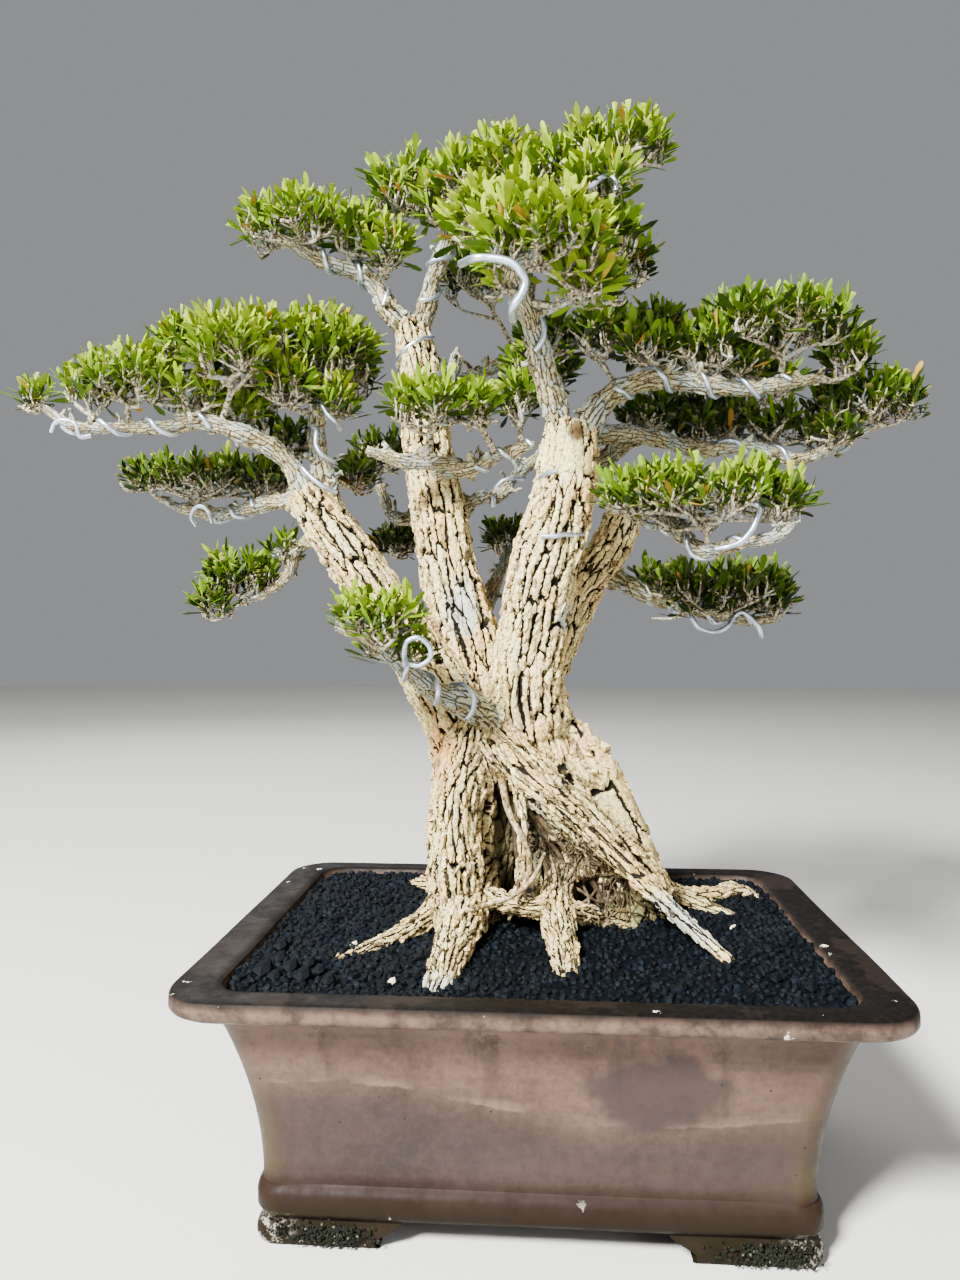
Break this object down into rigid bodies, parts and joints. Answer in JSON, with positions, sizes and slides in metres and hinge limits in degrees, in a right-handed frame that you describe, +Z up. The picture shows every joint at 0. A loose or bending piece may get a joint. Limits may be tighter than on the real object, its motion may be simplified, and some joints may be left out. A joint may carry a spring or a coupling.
{
  "type": "boxwood bonsai",
  "caption": "Multi-trunk boxwood bonsai with corky bark, wired branches and leafy pads, growing in lava grit in a footed rectangular clay pot.",
  "frame": {"origin": "bottom centre of the whole object, on the plane that the pot's feet stand on", "axes": "+Z up, +X to the right seen from the front, +Y towards the back"},
  "size_m": [0.7238, 0.4025, 0.7772],
  "materials": {
    "clay": "satin",
    "grit": "matte",
    "bark": "matte",
    "leaf": "satin",
    "wire": "satin",
    "mesh": "matte"
  },
  "bodies": {
    "root": {"drain_mesh_left": "mesh", "drain_mesh_right": "mesh", "leaves_apex": "leaf", "leaves_apex_front": "leaf", "leaves_apex_left": "leaf", "leaves_apex_low": "leaf", "leaves_apex_right": "leaf", "leaves_back_apex": "leaf", "leaves_back_left": "leaf", "leaves_back_low": "leaf", "leaves_back_low_left": "leaf", "leaves_back_right_tip": "leaf", "leaves_back_top": "leaf", "leaves_back_upper_left": "leaf", "leaves_back_upper_right": "leaf", "leaves_centre": "leaf", "leaves_front_low": "leaf", "leaves_left_droop": "leaf", "leaves_left_front": "leaf", "leaves_left_inner": "leaf", "leaves_left_long": "leaf", "leaves_left_low": "leaf", "leaves_left_stem": "leaf", "leaves_left_tip": "leaf", "leaves_right_front": "leaf", "leaves_right_inner": "leaf", "leaves_right_low": "leaf", "leaves_right_middle": "leaf", "leaves_right_tip": "leaf", "leaves_right_top": "leaf", "leaves_top_left": "leaf", "pot": "clay", "soil": "grit", "tree": "bark", "wire_apex_front": "wire", "wire_apex_right": "wire", "wire_centre_back": "wire", "wire_centre_right": "wire", "wire_centre_top": "wire", "wire_cross": "wire", "wire_front_pad": "wire", "wire_left_long": "wire", "wire_left_low": "wire", "wire_low_front": "wire", "wire_right_long": "wire", "wire_right_low": "wire", "wire_right_trunk": "wire", "wire_right_upper": "wire", "wire_top_left": "wire"}
  },
  "joints": []
}
